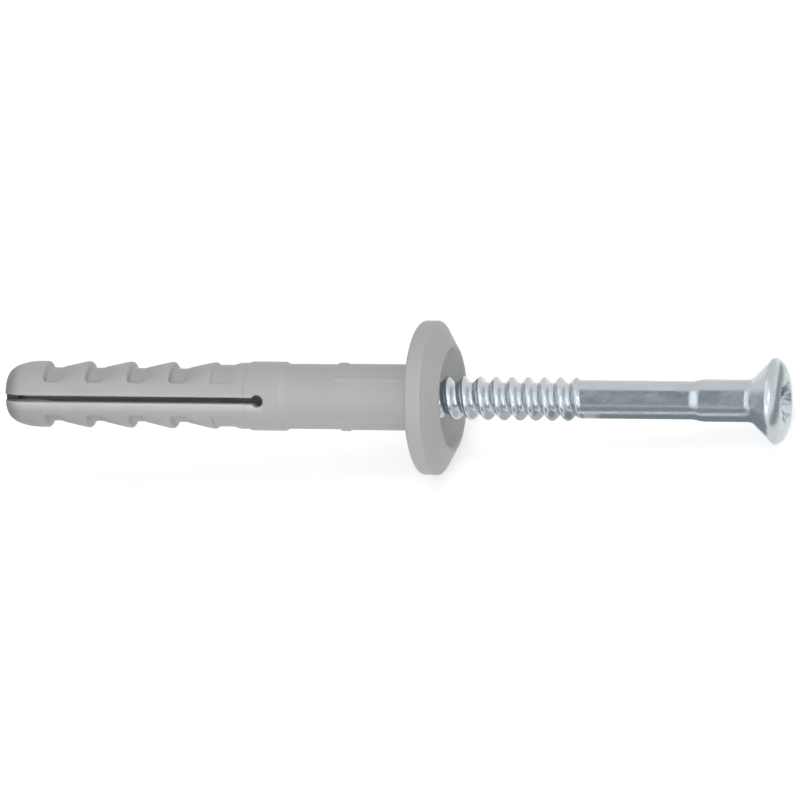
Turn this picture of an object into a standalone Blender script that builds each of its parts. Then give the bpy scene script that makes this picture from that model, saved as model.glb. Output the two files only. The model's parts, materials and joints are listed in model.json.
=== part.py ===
"""Nail anchor: a split nylon sleeve with a collar, and the threaded nail that is hammered into it.

The anchor is built along its own axis, with the nose of the sleeve at 0 and the head of the nail
at the far end. It then lies on a flat surface as it comes to rest, on the rim of its collar and on
the edge of the nail's head. Round pieces have flat facets, and a radius is measured to the middle
of a facet. One facet of the collar and one of the head face straight down, so it lies without
rolling.
"""

import math

import bmesh
import bpy

MM = 0.001

# Nail: radii
CORE_RADIUS = 1.45 * MM  # under the thread
THREAD_HEIGHT = 0.55 * MM
SHANK_RADIUS = 1.735 * MM
NECK_RADIUS = 1.915 * MM
HEAD_RADIUS = 3.92 * MM
POINT_RADIUS = 0.12 * MM

# Nail: lengths along the axis
TIP_LENGTH = 4.0 * MM
SHANK_LENGTH = 10.75 * MM
NECK_BLEND = 0.55 * MM
NECK_LENGTH = 4.62 * MM
HEAD_EDGE = 0.55 * MM
DOME_HEIGHT = 1.2 * MM
HEAD_HALF_ANGLE = math.radians(43.2)
HEAD_ROUND = 0.12 * MM

# Nail: thread
THREAD_PITCH = 1.5 * MM
THREAD_CREST = 0.22 * MM  # width of the crest
THREAD_FOOT = 0.92 * MM  # width of the ridge where it leaves the core
THREAD_SINK = 0.12 * MM  # how far the ridge starts inside the core
THREAD_BARE_TIP = 1.6 * MM  # point without thread
THREAD_GROWTH = 3.2 * MM  # length over which the ridge reaches full height
THREAD_FADE = 0.9 * MM  # length over which it dies into the shank
THREAD_START_TURN = math.radians(79)

# Nail: cross recess for the screwdriver
RECESS_SPAN = 4.2 * MM
RECESS_FLOOR_SPAN = 1.9 * MM
RECESS_WING = 0.95 * MM
RECESS_FLOOR_WING = 0.62 * MM
RECESS_DEPTH = 2.3 * MM
RECESS_TURN = math.radians(28)

# Sleeve: bore
RUNNING_CLEARANCE = 0.06 * MM
TIP_GAP = 0.77 * MM  # how far inside the nose the driven nail stops

# Sleeve: split and toothed end
POCKET_WALL = 0.36 * MM  # nylon left between the bore and the floor of a tooth gap
TOOTH_DEPTH = 0.58 * MM
NOSE_FACE_RADIUS = 1.72 * MM
NOSE_LENGTH = 3.0 * MM
TOOTH_COUNT = 5
FIRST_TOOTH = 3.75 * MM
TOOTH_PITCH = 3.93 * MM
GAP_FLOOR = 1.2 * MM
GAP_RISE = 0.16 * MM  # kerb at the end of a gap's floor
TOOTH_LAND = 0.35 * MM  # full radius kept before the next tooth's edge
LAST_GAP_DEPTH = 0.16 * MM
LAST_GAP_LENGTH = 1.7 * MM
SIDE_BAND_WIDTH = 3.05 * MM  # smooth band along each side of the split
PLAIN_LENGTH = 1.43 * MM
SLOT_WIDTH = 0.6 * MM
SLOT_HOLE_RADIUS = 0.58 * MM
SLOT_INTO_SHOULDER = 1.4 * MM
SLOT_TURN = math.radians(61)  # turn of the split about the axis, from straight down

# Sleeve: shoulder, neck and fins
SHOULDER_LENGTH = 3.4 * MM
SHOULDER_HEIGHT = 0.13 * MM
SHOULDER_RAMP = 0.3 * MM
NECK_RELIEF = 0.05 * MM
SLEEVE_NECK_LENGTH = 12.8 * MM
FIN_LENGTH = 7.7 * MM
FIN_HEIGHT = 0.09 * MM
FIN_WIDTH = 0.32 * MM
FIN_SPREAD = math.radians(42)  # either side of the split
PIP_LENGTH = 1.1 * MM
PIP_HEIGHT = 0.17 * MM
FIN_ROOT = 0.3 * MM  # how far a fin starts inside the neck

# Sleeve: collar
RIM_WIDTH = 1.5 * MM
RIM_ROUND = 0.22 * MM
FACE_WIDTH = 2.12 * MM  # from the lip out to the rim
SEAT_WALL = 0.52 * MM  # nylon left round the countersunk seat where the neck meets the collar
LIP_WIDTH = 0.36 * MM
LIP_ROUND = 0.14 * MM
HEAD_CLEARANCE = 0.25 * MM  # round the nail's head in its seat
SEAT_CLEARANCE = 0.12 * MM  # left under the head when the nail is driven home
MOUTH_DRAFT = 0.33 * MM
MOUTH_DEPTH = 1.0 * MM  # from the lip down to the countersunk seat

NAIL_INSERTED = 9.95 * MM  # length of nail inside the sleeve before it is driven

# Facets
SLEEVE_SEGMENTS = 32
BORE_SEGMENTS = 24
NAIL_SEGMENTS = 16  # wide enough facets for the head to lie still on one
HOLE_SEGMENTS = 16
THREAD_SEGMENTS = 20
ARC_STEPS = 3
NOSE_STEPS = 7
DOME_STEPS = 6
PAST = 1.0 * MM  # how far a cutter reaches past what it cuts
RAMP_OVERRUN = 1.05  # a gap's ramp runs this much further, to leave the sleeve cleanly

# Sizes that follow from those above
thread_radius = CORE_RADIUS + THREAD_HEIGHT
bore_radius = max(thread_radius, SHANK_RADIUS, NECK_RADIUS) + RUNNING_CLEARANCE
sleeve_radius = bore_radius + POCKET_WALL + TOOTH_DEPTH
neck_radius = sleeve_radius - NECK_RELIEF
shoulder_radius = sleeve_radius + SHOULDER_HEIGHT
seat_radius = HEAD_RADIUS + HEAD_CLEARANCE
mouth_radius = seat_radius + MOUTH_DRAFT
lip_radius = mouth_radius + LIP_WIDTH
collar_radius = lip_radius + FACE_WIDTH

shoulder_start = FIRST_TOOTH + (TOOTH_COUNT - 1) * TOOTH_PITCH + LAST_GAP_LENGTH + PLAIN_LENGTH
shoulder_end = shoulder_start + SHOULDER_LENGTH
slot_end = shoulder_start + SLOT_INTO_SHOULDER
collar_back = shoulder_end + SLEEVE_NECK_LENGTH
fin_start = collar_back - FIN_LENGTH
rim_front = collar_back + RIM_WIDTH
seat_radius_in_neck = sleeve_radius - SEAT_WALL
seat_top = collar_back + (seat_radius - seat_radius_in_neck) / math.tan(HEAD_HALF_ANGLE)
seat_bottom = seat_top - (seat_radius - bore_radius) / math.tan(HEAD_HALF_ANGLE)
mouth = seat_top + MOUTH_DEPTH

head_cone = (HEAD_RADIUS - NECK_RADIUS) / math.tan(HEAD_HALF_ANGLE)
driven_edge = seat_top - HEAD_CLEARANCE / math.tan(HEAD_HALF_ANGLE) + SEAT_CLEARANCE
nail_edge = driven_edge - TIP_GAP
threaded_length = nail_edge - head_cone - NECK_LENGTH - NECK_BLEND - SHANK_LENGTH
nail_at_rest = mouth - NAIL_INSERTED
nail_travel = nail_at_rest - TIP_GAP


def rounded_corner(before, corner, after, radius):
    """Points of an arc that replaces a corner of an outline and is tangent to both its sides."""
    to_before = (before[0] - corner[0], before[1] - corner[1])
    to_after = (after[0] - corner[0], after[1] - corner[1])
    start = math.atan2(to_before[1], to_before[0])
    turn = (math.atan2(to_after[1], to_after[0]) - start + math.pi) % math.tau - math.pi
    side = 1 if turn > 0 else -1
    half = abs(turn) / 2
    reach = min(radius / math.tan(half), 0.45 * math.hypot(*to_before), 0.45 * math.hypot(*to_after))
    radius = reach * math.tan(half)
    middle = start + turn / 2
    centre_distance = radius / math.sin(half)
    centre = (
        corner[0] + centre_distance * math.cos(middle),
        corner[1] + centre_distance * math.sin(middle),
    )
    sweep = math.pi - 2 * half
    first = start - side * math.pi / 2
    return [
        (
            centre[0] + radius * math.cos(first - side * sweep * step / ARC_STEPS),
            centre[1] + radius * math.sin(first - side * sweep * step / ARC_STEPS),
        )
        for step in range(ARC_STEPS + 1)
    ]


def nose_outline():
    """Quarter of an ellipse from the flat nose out to the sleeve's full radius."""
    points = []
    for step in range(NOSE_STEPS + 1):
        angle = math.pi / 2 * step / NOSE_STEPS
        radius = NOSE_FACE_RADIUS + (sleeve_radius - NOSE_FACE_RADIUS) * math.sin(angle)
        points.append((radius, NOSE_LENGTH * (1 - math.cos(angle))))
    return points


def collar_outline():
    """Outside of the collar, from its flat back over the rim and the sloping face to the lip."""
    back = (sleeve_radius, collar_back)
    back_edge = (collar_radius, collar_back)
    front_edge = (collar_radius, rim_front)
    lip_outer = (lip_radius, mouth)
    lip_inner = (mouth_radius, mouth)
    return [
        *rounded_corner(back, back_edge, front_edge, RIM_ROUND),
        *rounded_corner(back_edge, front_edge, lip_outer, RIM_ROUND),
        *rounded_corner(front_edge, lip_outer, lip_inner, LIP_ROUND),
    ]


def sleeve_outline():
    """Outside of the sleeve from the nose to the mouth, as (radius, distance from the nose)."""
    return [
        *nose_outline(),
        (sleeve_radius, shoulder_start),
        (shoulder_radius, shoulder_start + SHOULDER_RAMP),
        (shoulder_radius, shoulder_end),
        (neck_radius, shoulder_end + SHOULDER_RAMP),
        (neck_radius, fin_start),
        (sleeve_radius, fin_start + SHOULDER_RAMP),
        (sleeve_radius, collar_back),
        *collar_outline(),
    ]


def head_outline():
    """Cone, edge and raised dome of the nail's head, as (radius, distance from the tip)."""
    neck_end = (NECK_RADIUS, nail_edge - head_cone)
    back_edge = (HEAD_RADIUS, nail_edge)
    front_edge = (HEAD_RADIUS, nail_edge + HEAD_EDGE)
    ball_radius = (HEAD_RADIUS**2 + DOME_HEIGHT**2) / (2 * DOME_HEIGHT)
    ball_centre = nail_edge + HEAD_EDGE + DOME_HEIGHT - ball_radius
    full = math.asin(HEAD_RADIUS / ball_radius)
    dome = []
    for step in range(1, DOME_STEPS + 1):
        angle = full * (1 - step / DOME_STEPS)
        dome.append((ball_radius * math.sin(angle), ball_centre + ball_radius * math.cos(angle)))
    return [
        neck_end,
        *rounded_corner(neck_end, back_edge, front_edge, HEAD_ROUND),
        *rounded_corner(back_edge, front_edge, dome[0], HEAD_ROUND),
        *dome,
    ]


def nail_outline():
    """Outside of the nail without its thread, from the tip to the top of the head."""
    shank_end = threaded_length + SHANK_LENGTH
    return [
        (0, 0),
        (POINT_RADIUS, 0),
        (CORE_RADIUS, TIP_LENGTH),
        (CORE_RADIUS, threaded_length - NECK_BLEND),
        (SHANK_RADIUS, threaded_length),
        (SHANK_RADIUS, shank_end),
        (NECK_RADIUS, shank_end + NECK_BLEND),
        *head_outline(),
    ]


def bore_outline():
    """Inside of the sleeve: a point that takes the nail's tip, the bore, the seat and the mouth."""
    nose_bore = POINT_RADIUS + RUNNING_CLEARANCE + THREAD_HEIGHT
    return [
        (0, -PAST),
        (nose_bore, -PAST),
        (nose_bore, TIP_GAP),
        (bore_radius, TIP_GAP + TIP_LENGTH),
        (bore_radius, seat_bottom),
        (seat_radius, seat_top),
        (mouth_radius, mouth),
        (mouth_radius, mouth + PAST),
        (0, mouth + PAST),
    ]


def tooth_gap_outlines():
    """One closed outline for each gap behind a tooth, reaching past the outside of the sleeve."""
    outside = sleeve_radius + PAST
    floor_radius = sleeve_radius - TOOTH_DEPTH
    outlines = []
    for tooth in range(TOOTH_COUNT - 1):
        edge = FIRST_TOOTH + tooth * TOOTH_PITCH
        floor_end = edge + GAP_FLOOR
        ramp = (floor_radius + GAP_RISE, floor_end + GAP_RISE)
        ramp_end = (
            ramp[0] + RAMP_OVERRUN * (TOOTH_DEPTH - GAP_RISE),
            ramp[1] + RAMP_OVERRUN * (edge + TOOTH_PITCH - TOOTH_LAND - ramp[1]),
        )
        outlines.append([
            (floor_radius, edge),
            (floor_radius, floor_end),
            ramp,
            ramp_end,
            (outside, ramp_end[1]),
            (outside, edge),
        ])
    last_edge = FIRST_TOOTH + (TOOTH_COUNT - 1) * TOOTH_PITCH
    last_floor = sleeve_radius - LAST_GAP_DEPTH
    last_end = last_edge + LAST_GAP_LENGTH
    outlines.append([
        (last_floor, last_edge),
        (last_floor, last_end - LAST_GAP_DEPTH),
        (outside, last_end + PAST),
        (outside, last_edge),
    ])
    return outlines


def fin_outline(long_fin):
    """Side view of a pip, with the low fin behind it or alone, as (height, distance from nose)."""
    foot = neck_radius - FIN_ROOT
    ramp = PIP_HEIGHT
    points = [
        (foot, fin_start - ramp),
        (neck_radius, fin_start - ramp),
        (sleeve_radius + PIP_HEIGHT, fin_start),
        (sleeve_radius + PIP_HEIGHT, fin_start + PIP_LENGTH - ramp),
    ]
    if long_fin:
        points += [
            (sleeve_radius + FIN_HEIGHT, fin_start + PIP_LENGTH),
            (sleeve_radius + FIN_HEIGHT, collar_back + FIN_ROOT),
            (foot, collar_back + FIN_ROOT),
        ]
    else:
        points += [
            (foot + ramp, fin_start + PIP_LENGTH + ramp),
            (foot, fin_start + PIP_LENGTH + ramp),
        ]
    return points


def material(name, colour, roughness, metallic):
    """A Principled material with plain values."""
    made = bpy.data.materials.new(name)
    made.use_nodes = True
    shader = made.node_tree.nodes["Principled BSDF"]
    shader.inputs["Base Color"].default_value = (*colour, 1)
    shader.inputs["Roughness"].default_value = roughness
    shader.inputs["Metallic"].default_value = metallic
    made.diffuse_color = (*colour, 1)
    return made


def mesh_object(name, mesh, collection, parent):
    made = bpy.data.objects.new(name, mesh)
    made.parent = parent
    collection.objects.link(made)
    return made


def turned(name, outlines, segments, collection, parent, closed=False):
    """Turns outlines, given as (radius, height) from the bottom up, about the local Z axis.

    The outlines are drawn half a facet round from local X, so that a flat facet faces that way, and
    far enough out for the middle of each facet to lie at the radius.
    """
    mesh = bpy.data.meshes.new(name)
    aside = math.tan(math.pi / segments)
    points = []
    edges = []
    for outline in outlines:
        start = len(points)
        points += [(radius, radius * aside, height) for radius, height in reversed(outline)]
        edges += [(start + step, start + step + 1) for step in range(len(outline) - 1)]
        if closed:
            edges.append((start + len(outline) - 1, start))
    mesh.from_pydata(points, edges, [])
    made = mesh_object(name, mesh, collection, parent)
    screw = made.modifiers.new("Turn", "SCREW")
    screw.steps = segments
    screw.render_steps = segments
    screw.use_merge_vertices = True
    screw.merge_threshold = 0.001 * MM
    return made


def prism(name, outlines_and_turns, width, collection, parent):
    """Extrudes each flat outline to one width and turns it about the axis, all in one mesh."""
    sheet = bmesh.new()
    for outline, turn in outlines_and_turns:
        corners = []
        for radius, height in outline:
            across = -width / 2
            corners.append(sheet.verts.new((
                radius * math.cos(turn) - across * math.sin(turn),
                radius * math.sin(turn) + across * math.cos(turn),
                height,
            )))
        face = sheet.faces.new(corners)
        grown = bmesh.ops.extrude_face_region(sheet, geom=[face])
        moved = [item for item in grown["geom"] if isinstance(item, bmesh.types.BMVert)]
        shift = (-width * math.sin(turn), width * math.cos(turn), 0)
        bmesh.ops.translate(sheet, verts=moved, vec=shift)
    bmesh.ops.recalc_face_normals(sheet, faces=sheet.faces)
    mesh = bpy.data.meshes.new(name)
    sheet.to_mesh(mesh)
    sheet.free()
    return mesh_object(name, mesh, collection, parent)


def box(name, size, centre, turn, collection, parent, foot_size=None):
    """A box turned about the axis; foot_size gives its lower end another length and width."""
    solid = bmesh.new()
    bmesh.ops.create_cube(solid, size=1)
    for vertex in solid.verts:
        across = size
        if foot_size and vertex.co.z < 0:
            across = foot_size
        vertex.co.x *= across[0]
        vertex.co.y *= across[1]
        vertex.co.z *= size[2]
    mesh = bpy.data.meshes.new(name)
    solid.to_mesh(mesh)
    solid.free()
    made = mesh_object(name, mesh, collection, parent)
    made.location = centre
    made.rotation_euler = (0, 0, turn)
    return made


def thread_ridge(collection, parent):
    """One right-hand helical ridge that grows behind the tip and dies into the shank."""
    solid = bmesh.new()
    start = THREAD_BARE_TIP
    length = threaded_length - start
    rings = []
    for step in range(round(length / THREAD_PITCH * THREAD_SEGMENTS) + 1):
        along = THREAD_PITCH * step / THREAD_SEGMENTS
        angle = THREAD_START_TURN + math.tau * step / THREAD_SEGMENTS
        centre = start + along
        core = min(CORE_RADIUS, POINT_RADIUS + (CORE_RADIUS - POINT_RADIUS) * centre / TIP_LENGTH)
        grown = min(1, along / THREAD_GROWTH, (length - along) / THREAD_FADE)
        crest = core - THREAD_SINK / 2 + (THREAD_HEIGHT + THREAD_SINK / 2) * grown
        foot = core - THREAD_SINK
        section = [
            (foot, -THREAD_FOOT / 2),
            (crest, -THREAD_CREST / 2),
            (crest, THREAD_CREST / 2),
            (foot, THREAD_FOOT / 2),
        ]
        rings.append([
            solid.verts.new((radius * math.cos(angle), radius * math.sin(angle), centre + shift))
            for radius, shift in section
        ])
    for ring, following in zip(rings, rings[1:]):
        for corner in range(len(ring)):
            beside = (corner + 1) % len(ring)
            solid.faces.new((ring[corner], ring[beside], following[beside], following[corner]))
    solid.faces.new(rings[0])
    solid.faces.new(rings[-1])
    bmesh.ops.recalc_face_normals(solid, faces=solid.faces)
    mesh = bpy.data.meshes.new("thread_ridge")
    solid.to_mesh(mesh)
    solid.free()
    return mesh_object("thread_ridge", mesh, collection, parent)


def combine(target, other, operation):
    """Adds a Boolean of a helper object, which is then left out of the render."""
    boolean = target.modifiers.new(other.name, "BOOLEAN")
    boolean.operation = operation
    boolean.object = other
    other.hide_render = True
    other.display_type = "WIRE"


def smooth_with_edges(target, angle):
    """Smooth shading that keeps edges sharper than the angle."""
    target.data.shade_smooth()
    target.data.set_sharp_from_angle(angle=angle)


def make_sleeve(parts, cutters, parent):
    """One nylon moulding: collar, neck, shoulder, toothed end, bore and split."""
    outside = [(0, 0), *sleeve_outline(), (0, mouth)]
    sleeve = turned("sleeve", [outside], SLEEVE_SEGMENTS, parts, parent)
    gap_outlines = tooth_gap_outlines()
    gaps = turned("tooth_gaps", gap_outlines, SLEEVE_SEGMENTS, cutters, parent, closed=True)
    reach = 2 * (sleeve_radius + 2 * PAST)
    bands = box(
        "side_bands",
        (reach, SIDE_BAND_WIDTH, 2 * shoulder_start),
        (0, 0, shoulder_start),
        SLOT_TURN,
        cutters,
        parent,
    )
    combine(gaps, bands, "DIFFERENCE")

    fins = []
    for side in (0, math.pi):
        for spread in (-FIN_SPREAD, FIN_SPREAD):
            fins.append((fin_outline(True), SLOT_TURN + side + spread))
        fins.append((fin_outline(False), SLOT_TURN + side + math.pi / 2))
    combine(sleeve, prism("fins", fins, FIN_WIDTH, cutters, parent), "UNION")

    bore = turned("bore", [bore_outline()], BORE_SEGMENTS, cutters, parent)
    combine(sleeve, bore, "DIFFERENCE")
    slot = box(
        "slot",
        (reach, SLOT_WIDTH, slot_end + PAST),
        (0, 0, (slot_end - PAST) / 2),
        SLOT_TURN,
        cutters,
        parent,
    )
    combine(sleeve, slot, "DIFFERENCE")
    drill = bmesh.new()
    bmesh.ops.create_cone(
        drill,
        cap_ends=True,
        segments=HOLE_SEGMENTS,
        radius1=SLOT_HOLE_RADIUS,
        radius2=SLOT_HOLE_RADIUS,
        depth=reach,
    )
    mesh = bpy.data.meshes.new("slot_hole")
    drill.to_mesh(mesh)
    drill.free()
    hole = mesh_object("slot_hole", mesh, cutters, parent)
    hole.location = (0, 0, slot_end)
    hole.rotation_euler = (0, math.pi / 2, SLOT_TURN)
    combine(sleeve, hole, "DIFFERENCE")
    combine(sleeve, gaps, "DIFFERENCE")
    sleeve.data.materials.append(material("grey nylon", (0.47, 0.47, 0.46), 0.5, 0))
    return sleeve


def make_nail(parts, cutters, parent):
    """One steel piece: threaded nail, thicker neck and countersunk head with a cross recess."""
    nail = turned("nail", [nail_outline()], NAIL_SEGMENTS, parts, parent)
    ridge = thread_ridge(cutters, nail)
    combine(nail, ridge, "UNION")
    head_top = nail_edge + HEAD_EDGE + DOME_HEIGHT
    depth = RECESS_DEPTH + PAST
    flare = 1 + PAST / RECESS_DEPTH
    span = RECESS_FLOOR_SPAN + (RECESS_SPAN - RECESS_FLOOR_SPAN) * flare
    wing = RECESS_FLOOR_WING + (RECESS_WING - RECESS_FLOOR_WING) * flare
    for name, turn in (("recess_wings_a", 0), ("recess_wings_b", math.pi / 2)):
        wings = box(
            name,
            (span, wing, depth),
            (0, 0, head_top - RECESS_DEPTH + depth / 2),
            RECESS_TURN + turn,
            cutters,
            nail,
            foot_size=(RECESS_FLOOR_SPAN, RECESS_FLOOR_WING),
        )
        combine(nail, wings, "DIFFERENCE")
    nail.location = (0, 0, nail_at_rest)
    nail.data.materials.append(material("zinc-plated steel", (0.62, 0.65, 0.67), 0.3, 1))
    return nail


def lay_down(axis):
    """Lays the anchor along X on its rim and head edge, with its box centred over the origin."""
    head = [(radius, along + nail_at_rest) for radius, along in head_outline()]
    drop = max(
        min((low[0] - high[0]) / (high[1] - low[1]) for high in head) for low in collar_outline()
    )
    tilt = math.atan(drop)
    outline = sleeve_outline() + head
    depth = max(r * math.cos(tilt) + along * math.sin(tilt) for r, along in outline)
    left = min(along * math.cos(tilt) - r * math.sin(tilt) for r, along in outline)
    right = max(along * math.cos(tilt) + r * math.sin(tilt) for r, along in outline)
    axis.rotation_euler = (0, math.pi / 2 + tilt, 0)
    axis.location = (-(left + right) / 2, 0, depth)


def main():
    for old in list(bpy.data.objects):
        bpy.data.objects.remove(old, do_unlink=True)
    parts = bpy.data.collections.new("nail_anchor")
    cutters = bpy.data.collections.new("cutters")
    for collection in (parts, cutters):
        bpy.context.scene.collection.children.link(collection)
    axis = bpy.data.objects.new("anchor_axis", None)
    axis.empty_display_size = collar_radius
    parts.objects.link(axis)
    sleeve = make_sleeve(parts, cutters, axis)
    nail = make_nail(parts, cutters, axis)
    lay_down(axis)
    for piece in (sleeve, nail):
        smooth_with_edges(piece, math.radians(30))


main()
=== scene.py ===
import json
import math

import bmesh
import bpy
import numpy as np
from mathutils import Matrix, Vector


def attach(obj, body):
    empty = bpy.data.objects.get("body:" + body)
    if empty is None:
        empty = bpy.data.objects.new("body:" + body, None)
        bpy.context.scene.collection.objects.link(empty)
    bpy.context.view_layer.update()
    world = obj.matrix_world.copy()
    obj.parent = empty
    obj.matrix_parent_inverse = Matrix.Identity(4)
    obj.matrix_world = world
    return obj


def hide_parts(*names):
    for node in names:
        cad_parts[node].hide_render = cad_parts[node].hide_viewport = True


bl_info = {
    "name": "Nail Anchor",
    "version": (1, 0, 0),
    "blender": (4, 5, 0),
    "location": "View3D > Sidebar > Nail Anchor",
    "description": "Builds the finished look of a nylon nail anchor and its zinc-plated nail",
    "category": "Add Mesh",
}

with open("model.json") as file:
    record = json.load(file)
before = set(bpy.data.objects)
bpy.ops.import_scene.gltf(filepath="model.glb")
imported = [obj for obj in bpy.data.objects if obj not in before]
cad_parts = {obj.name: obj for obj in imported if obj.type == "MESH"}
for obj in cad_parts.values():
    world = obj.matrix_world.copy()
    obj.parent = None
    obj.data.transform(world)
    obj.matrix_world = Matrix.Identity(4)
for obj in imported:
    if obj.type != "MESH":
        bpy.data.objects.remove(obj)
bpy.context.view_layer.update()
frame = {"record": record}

MM = 0.001

# The anchor's axis in the frame: the nail slides along it, and the collar's back stands across it
joint = frame["record"]["behaviour"]["joints"][0]
collar_mount = frame["record"]["mounts"][0]
ALONG = -Vector(joint["axis"]).normalized()
SIDE = Vector((0, 1, 0))
DOWN = SIDE.cross(ALONG)
COLLAR_CENTRE = Vector((collar_mount["pos_m"][0], 0, collar_mount["pos_m"][2]))

# Places along the axis, measured from the sleeve's nose
COLLAR_BACK = 38.8 * MM
NOSE_POINT = COLLAR_CENTRE - ALONG * COLLAR_BACK
NOSE_LENGTH = 3.0 * MM
FIRST_TOOTH = 3.75 * MM
TOOTH_PITCH = 3.93 * MM
TOOTH_COUNT = 5
SHOULDER_START = 22.6 * MM
SHOULDER_END = 26.0 * MM
SLOT_END = 24.0 * MM
FIN_START = 31.1 * MM
BORE_END = 4.77 * MM
RIM_FRONT = COLLAR_BACK + 1.5 * MM
SEAT_TOP = 40.6 * MM
MOUTH = SEAT_TOP + 1.0 * MM

# Radii of the sleeve
NOSE_FACE_RADIUS = 1.66 * MM
SLEEVE_RADIUS = 3.0 * MM
POCKET_RADIUS = 2.42 * MM
NECK_RADIUS = 2.95 * MM
SHOULDER_RADIUS = 3.13 * MM
COLLAR_RADIUS = 6.98 * MM
LIP_RADIUS = 4.86 * MM
MOUTH_RADIUS = 4.5 * MM
SEAT_RADIUS = 4.17 * MM
BORE_RADIUS = 2.06 * MM
NOSE_BORE_RADIUS = 0.36 * MM
SEAT_HALF_ANGLE = math.radians(43.2)
SEAT_BOTTOM = SEAT_TOP - (SEAT_RADIUS - BORE_RADIUS) / math.tan(SEAT_HALF_ANGLE)

# Split through both sides of the toothed end; its turn is measured from straight down
SLOT_TURN = math.radians(61)
SLOT_WIDTH = 0.6 * MM
SLOT_HOLE_RADIUS = 0.58 * MM

# Half the plain band beside the split, between the toothed sides
SIDE_BAND_HALF = 1.525 * MM

# Core at the nose that ties the two legs together
WEB_RADIUS = 1.3 * MM
WEB_LENGTH = 1.1 * MM

# The nail's tip at rest, measured from the sleeve's nose
NAIL_DEPTH = 9.95 * MM
NAIL_TIP = MOUTH - NAIL_DEPTH

# The nail, measured from its tip
TIP_LENGTH = 4.0 * MM
POINT_RADIUS = 0.12 * MM
ROOT_RADIUS = 1.43 * MM
THREAD_PITCH = 1.5 * MM
THREAD_START = 1.6 * MM
THREAD_START_TURN = math.radians(44)
SHANK_START = 21.85 * MM
SHANK_RADIUS = 1.735 * MM
SHANK_END = 32.5 * MM
NAIL_NECK_RADIUS = 1.915 * MM
CONE_HALF_ANGLE = math.radians(45)
HEAD_RADIUS = 3.93 * MM
HEAD_EDGE_START = 39.98 * MM
HEAD_LAND = 0.06 * MM
DOME_HEIGHT = 1.06 * MM
HEAD_TOP = HEAD_EDGE_START + HEAD_LAND + DOME_HEIGHT

# Mesh columns round each piece, and the turn of the surface that keeps an edge sharp
SLEEVE_COLUMNS = 176
NAIL_COLUMNS = 96
SHARP_ANGLE = math.radians(50)


class SleeveSettings(bpy.types.PropertyGroup):
    """Sizes and colours of the nylon sleeve that a user would change."""

    colour: bpy.props.StringProperty(
        name="Nylon colour",
        description="Colour of the moulded nylon, as sRGB hex",
        default="#BAB9B8",
    )
    edge_round: bpy.props.FloatProperty(
        name="Slot edge",
        description="Radius of the rolled edge along the split and its hole",
        default=0.13 * MM,
        min=0,
        unit="LENGTH",
    )
    fin_height: bpy.props.FloatProperty(
        name="Fin height",
        description="Height of the low fins between the neck and the collar",
        default=0.09 * MM,
        min=0,
        unit="LENGTH",
    )
    pip_height: bpy.props.FloatProperty(
        name="Pip height",
        description="Height of the pip that each fin starts with",
        default=0.17 * MM,
        min=0,
        unit="LENGTH",
    )
    mottle_size: bpy.props.FloatProperty(
        name="Mottle size",
        description="Size of the faint cloudy patches in the moulded nylon",
        default=2.5 * MM,
        min=0.1 * MM,
        unit="LENGTH",
    )


class NailSettings(bpy.types.PropertyGroup):
    """Sizes and colours of the steel nail that a user would change."""

    colour: bpy.props.StringProperty(
        name="Zinc colour",
        description="Colour of the blue-passivated zinc plating, as sRGB hex",
        default="#BEC4C7",
    )
    thread_height: bpy.props.FloatProperty(
        name="Thread height",
        description="Height of the rolled thread from its root to its crest",
        default=0.56 * MM,
        min=0,
        unit="LENGTH",
    )
    crest_sharpness: bpy.props.FloatProperty(
        name="Crest sharpness",
        description="1 gives a wave with an even crest and root, and more a narrower crest",
        default=1.1,
        min=0.5,
    )
    recess_span: bpy.props.FloatProperty(
        name="Recess span",
        description="Width of the cross recess from wing end to wing end",
        default=4.1 * MM,
        min=1 * MM,
        unit="LENGTH",
    )
    recess_depth: bpy.props.FloatProperty(
        name="Recess depth",
        description="Depth of the cross recess below the top of the head",
        default=1.6 * MM,
        min=0.2 * MM,
        unit="LENGTH",
    )


class StageSettings(bpy.types.PropertyGroup):
    """The floor, the light and the camera."""

    lens: bpy.props.FloatProperty(
        name="Lens",
        description="Focal length of the camera's lens, in millimetres",
        default=1200,
        min=10,
    )
    distance: bpy.props.FloatProperty(
        name="Camera distance",
        description="Distance from the camera to the anchor",
        default=2.409,
        min=0.1,
        unit="LENGTH",
    )
    key_strength: bpy.props.FloatProperty(
        name="Lamps",
        description="Power of the three broad lamps, against their usual power",
        default=1.0,
        min=0,
    )
    fill_strength: bpy.props.FloatProperty(
        name="Surrounding light",
        description="Brightness of the white surroundings on dull surfaces",
        default=0.56,
        min=0,
    )


def smooth_step(value, low, high):
    """0 below low, 1 above high and a smooth rise between, for arrays too."""
    share = np.clip((value - low) / (high - low), 0, 1)
    return share * share * (3 - 2 * share)


def rounded_corner(before, corner, after, radius, steps=6):
    """Points of an arc that replaces a corner of an outline and is tangent to both its sides."""
    side_share = 0.45
    before, corner, after = Vector(before), Vector(corner), Vector(after)
    to_before = (before - corner).normalized()
    to_after = (after - corner).normalized()
    half = to_before.angle(to_after) / 2
    reach = min(
        radius / math.tan(half),
        side_share * (before - corner).length,
        side_share * (after - corner).length,
    )
    radius = reach * math.tan(half)
    centre = corner + (to_before + to_after).normalized() * (radius / math.sin(half))
    start = corner + to_before * reach - centre
    end = corner + to_after * reach - centre
    sweep = start.angle(end)
    points = []
    for step in range(steps + 1):
        share = step / steps
        spoke = (
            start * math.sin((1 - share) * sweep) + end * math.sin(share * sweep)
        ) / math.sin(sweep)
        points.append(tuple(centre + spoke))
    return points


def run(first, last, step):
    """Evenly spaced points on a straight stretch of an outline, without its two ends."""
    first, last = Vector(first), Vector(last)
    count = max(1, math.ceil((last - first).length / step))
    return [tuple(first.lerp(last, share / count)) for share in range(1, count)]


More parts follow.
